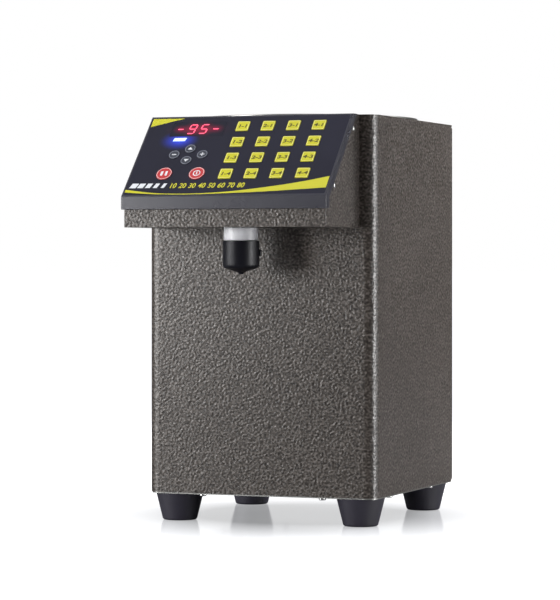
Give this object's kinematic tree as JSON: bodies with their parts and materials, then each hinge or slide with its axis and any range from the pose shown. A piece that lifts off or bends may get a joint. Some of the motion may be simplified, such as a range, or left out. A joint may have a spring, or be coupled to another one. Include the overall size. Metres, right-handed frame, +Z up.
{
  "type": "syrup dispenser",
  "caption": "Countertop fructose syrup dispenser: metal cabinet with a lidded tank, overhanging head with sloped keypad and display, capped nozzle, gear pump and rubber feet.",
  "frame": {"origin": "on the counter, in the middle of the overall width and depth", "axes": "+Z up, -Y towards the front (console and nozzle), +X to the right of someone facing the front"},
  "size_m": [0.27, 0.386, 0.453],
  "materials": {
    "hammertone": "hammertone paint, dark warm grey",
    "rear_sheet": "fine textured paint, dark grey",
    "zinc_sheet": "zinc plated sheet",
    "foot_rubber": "matte black rubber",
    "bright_screw": "bright plated steel",
    "charcoal_plastic": "smooth charcoal, satin",
    "panel_film": "printed film, satin dark blue-grey",
    "window_plastic": "smoked glossy window",
    "display_parts": "display block, black",
    "circuit_board": "green board",
    "black_plastic": "moulded black plastic",
    "white_plastic": "moulded white plastic",
    "seal_rubber": "seal ring",
    "nozzle_black": "black, glossy",
    "bright_steel": "machined steel",
    "tank_steel": "satin stainless, drawn",
    "lid_steel": "polished stainless",
    "clear_hose": "translucent silicone",
    "pump_alloy": "machined alloy",
    "motor_can": "plated motor can",
    "contact_brass": "plated contacts",
    "rocker_plastic": "glossy rocker",
    "key_yellow": "silicone key, yellow",
    "key_grey": "silicone key, dark grey",
    "key_red": "silicone key, red"
  },
  "bodies": {
    "cabinet": {"body_shell": "hammertone", "head_housing": "hammertone", "top_deck": "hammertone", "rear_panel": "rear_sheet", "base_plate": "zinc_sheet", "rubber_feet": "foot_rubber", "cabinet_screws": "bright_screw", "small_screws": "bright_screw", "console_bezel": "charcoal_plastic", "keypad_overlay": "panel_film", "display_window": "window_plastic", "display_module": "display_parts", "control_board": "circuit_board", "tact_switches": "black_plastic", "nozzle_collar": "white_plastic", "nozzle_o_ring": "seal_rubber", "valve_body": "white_plastic", "solenoid_coil": "black_plastic", "plunger_spring": "bright_steel", "syrup_tank": "tank_steel", "suction_hose": "clear_hose", "delivery_hose": "clear_hose", "hose_clamps": "bright_steel", "pump_body": "pump_alloy", "pump_cover": "pump_alloy", "pump_bracket": "zinc_sheet", "pump_motor": "motor_can", "power_supply": "zinc_sheet", "power_inlet": "black_plastic", "inlet_pins": "contact_brass"},
    "tank_cover": {"tank_lid": "lid_steel", "lid_handle": "lid_steel"},
    "cap": {"nozzle_cap": "nozzle_black"},
    "plunger": {"solenoid_plunger": "bright_steel"},
    "drive_shaft": {"drive_gear": "bright_steel"},
    "idler_shaft": {"idler_gear": "bright_steel"},
    "rocker": {"power_rocker": "rocker_plastic"},
    "fuse_tray": {"fuse_drawer": "black_plastic"},
    "dose_key_1_1_body": {"dose_key_1_1": "key_yellow"},
    "dose_key_1_2_body": {"dose_key_1_2": "key_yellow"},
    "dose_key_1_3_body": {"dose_key_1_3": "key_yellow"},
    "dose_key_1_4_body": {"dose_key_1_4": "key_yellow"},
    "dose_key_2_1_body": {"dose_key_2_1": "key_yellow"},
    "dose_key_2_2_body": {"dose_key_2_2": "key_yellow"},
    "dose_key_2_3_body": {"dose_key_2_3": "key_yellow"},
    "dose_key_2_4_body": {"dose_key_2_4": "key_yellow"},
    "dose_key_3_1_body": {"dose_key_3_1": "key_yellow"},
    "dose_key_3_2_body": {"dose_key_3_2": "key_yellow"},
    "dose_key_3_3_body": {"dose_key_3_3": "key_yellow"},
    "dose_key_3_4_body": {"dose_key_3_4": "key_yellow"},
    "dose_key_4_1_body": {"dose_key_4_1": "key_yellow"},
    "dose_key_4_2_body": {"dose_key_4_2": "key_yellow"},
    "dose_key_4_3_body": {"dose_key_4_3": "key_yellow"},
    "dose_key_4_4_body": {"dose_key_4_4": "key_yellow"},
    "menu_key_up_body": {"menu_key_up": "key_grey"},
    "menu_key_left_body": {"menu_key_left": "key_grey"},
    "menu_key_right_body": {"menu_key_right": "key_grey"},
    "menu_key_down_body": {"menu_key_down": "key_grey"},
    "red_key_left_body": {"red_key_left": "key_red"},
    "red_key_right_body": {"red_key_right": "key_red"}
  },
  "joints": [
    {"name": "lid_lift", "type": "slide", "parent": "cabinet", "child": "tank_cover", "axis": [0, 0, 1], "range_m": [0, 0.1]},
    {"name": "cap_pull", "type": "slide", "parent": "cabinet", "child": "cap", "axis": [0, 0, -1], "range_m": [0, 0.03]},
    {"name": "plunger_lift", "type": "slide", "parent": "cabinet", "child": "plunger", "axis": [0, 0, 1], "range_m": [0, 0.003], "stiffness_N_per_m": 300, "deforming": ["plunger_spring"]},
    {"name": "drive_spin", "type": "hinge", "parent": "cabinet", "child": "drive_shaft", "pos_m": [-0.05, 0.01315, 0.0665], "axis": [0, 1, 0], "continuous": true},
    {"name": "idler_spin", "type": "hinge", "parent": "cabinet", "child": "idler_shaft", "pos_m": [-0.05, 0.01315, 0.08463], "axis": [0, 1, 0], "continuous": true},
    {"name": "rocker_tip", "type": "hinge", "parent": "cabinet", "child": "rocker", "pos_m": [0.078, 0.188, 0.123], "axis": [0, 0, 1], "range_deg": [0, 16]},
    {"name": "fuse_slide", "type": "slide", "parent": "cabinet", "child": "fuse_tray", "axis": [0, 1, 0], "range_m": [0, 0.018]},
    {"name": "dose_key_1_1_press", "type": "slide", "parent": "cabinet", "child": "dose_key_1_1_body", "axis": [0, 0.7299, -0.6835], "range_m": [0, 0.0005], "stiffness_N_per_m": 600},
    {"name": "dose_key_1_2_press", "type": "slide", "parent": "cabinet", "child": "dose_key_1_2_body", "axis": [0, 0.7299, -0.6835], "range_m": [0, 0.0005], "stiffness_N_per_m": 600},
    {"name": "dose_key_1_3_press", "type": "slide", "parent": "cabinet", "child": "dose_key_1_3_body", "axis": [0, 0.7299, -0.6835], "range_m": [0, 0.0005], "stiffness_N_per_m": 600},
    {"name": "dose_key_1_4_press", "type": "slide", "parent": "cabinet", "child": "dose_key_1_4_body", "axis": [0, 0.7299, -0.6835], "range_m": [0, 0.0005], "stiffness_N_per_m": 600},
    {"name": "dose_key_2_1_press", "type": "slide", "parent": "cabinet", "child": "dose_key_2_1_body", "axis": [0, 0.7299, -0.6835], "range_m": [0, 0.0005], "stiffness_N_per_m": 600},
    {"name": "dose_key_2_2_press", "type": "slide", "parent": "cabinet", "child": "dose_key_2_2_body", "axis": [0, 0.7299, -0.6835], "range_m": [0, 0.0005], "stiffness_N_per_m": 600},
    {"name": "dose_key_2_3_press", "type": "slide", "parent": "cabinet", "child": "dose_key_2_3_body", "axis": [0, 0.7299, -0.6835], "range_m": [0, 0.0005], "stiffness_N_per_m": 600},
    {"name": "dose_key_2_4_press", "type": "slide", "parent": "cabinet", "child": "dose_key_2_4_body", "axis": [0, 0.7299, -0.6835], "range_m": [0, 0.0005], "stiffness_N_per_m": 600},
    {"name": "dose_key_3_1_press", "type": "slide", "parent": "cabinet", "child": "dose_key_3_1_body", "axis": [0, 0.7299, -0.6835], "range_m": [0, 0.0005], "stiffness_N_per_m": 600},
    {"name": "dose_key_3_2_press", "type": "slide", "parent": "cabinet", "child": "dose_key_3_2_body", "axis": [0, 0.7299, -0.6835], "range_m": [0, 0.0005], "stiffness_N_per_m": 600},
    {"name": "dose_key_3_3_press", "type": "slide", "parent": "cabinet", "child": "dose_key_3_3_body", "axis": [0, 0.7299, -0.6835], "range_m": [0, 0.0005], "stiffness_N_per_m": 600},
    {"name": "dose_key_3_4_press", "type": "slide", "parent": "cabinet", "child": "dose_key_3_4_body", "axis": [0, 0.7299, -0.6835], "range_m": [0, 0.0005], "stiffness_N_per_m": 600},
    {"name": "dose_key_4_1_press", "type": "slide", "parent": "cabinet", "child": "dose_key_4_1_body", "axis": [0, 0.7299, -0.6835], "range_m": [0, 0.0005], "stiffness_N_per_m": 600},
    {"name": "dose_key_4_2_press", "type": "slide", "parent": "cabinet", "child": "dose_key_4_2_body", "axis": [0, 0.7299, -0.6835], "range_m": [0, 0.0005], "stiffness_N_per_m": 600},
    {"name": "dose_key_4_3_press", "type": "slide", "parent": "cabinet", "child": "dose_key_4_3_body", "axis": [0, 0.7299, -0.6835], "range_m": [0, 0.0005], "stiffness_N_per_m": 600},
    {"name": "dose_key_4_4_press", "type": "slide", "parent": "cabinet", "child": "dose_key_4_4_body", "axis": [0, 0.7299, -0.6835], "range_m": [0, 0.0005], "stiffness_N_per_m": 600},
    {"name": "menu_key_up_press", "type": "slide", "parent": "cabinet", "child": "menu_key_up_body", "axis": [0, 0.7299, -0.6835], "range_m": [0, 0.0005], "stiffness_N_per_m": 600},
    {"name": "menu_key_left_press", "type": "slide", "parent": "cabinet", "child": "menu_key_left_body", "axis": [0, 0.7299, -0.6835], "range_m": [0, 0.0005], "stiffness_N_per_m": 600},
    {"name": "menu_key_right_press", "type": "slide", "parent": "cabinet", "child": "menu_key_right_body", "axis": [0, 0.7299, -0.6835], "range_m": [0, 0.0005], "stiffness_N_per_m": 600},
    {"name": "menu_key_down_press", "type": "slide", "parent": "cabinet", "child": "menu_key_down_body", "axis": [0, 0.7299, -0.6835], "range_m": [0, 0.0005], "stiffness_N_per_m": 600},
    {"name": "red_key_left_press", "type": "slide", "parent": "cabinet", "child": "red_key_left_body", "axis": [0, 0.7299, -0.6835], "range_m": [0, 0.0005], "stiffness_N_per_m": 600},
    {"name": "red_key_right_press", "type": "slide", "parent": "cabinet", "child": "red_key_right_body", "axis": [0, 0.7299, -0.6835], "range_m": [0, 0.0005], "stiffness_N_per_m": 600}
  ],
  "couplings": [
    {"joint": "idler_spin", "follows": "drive_spin", "ratio": -1}
  ]
}
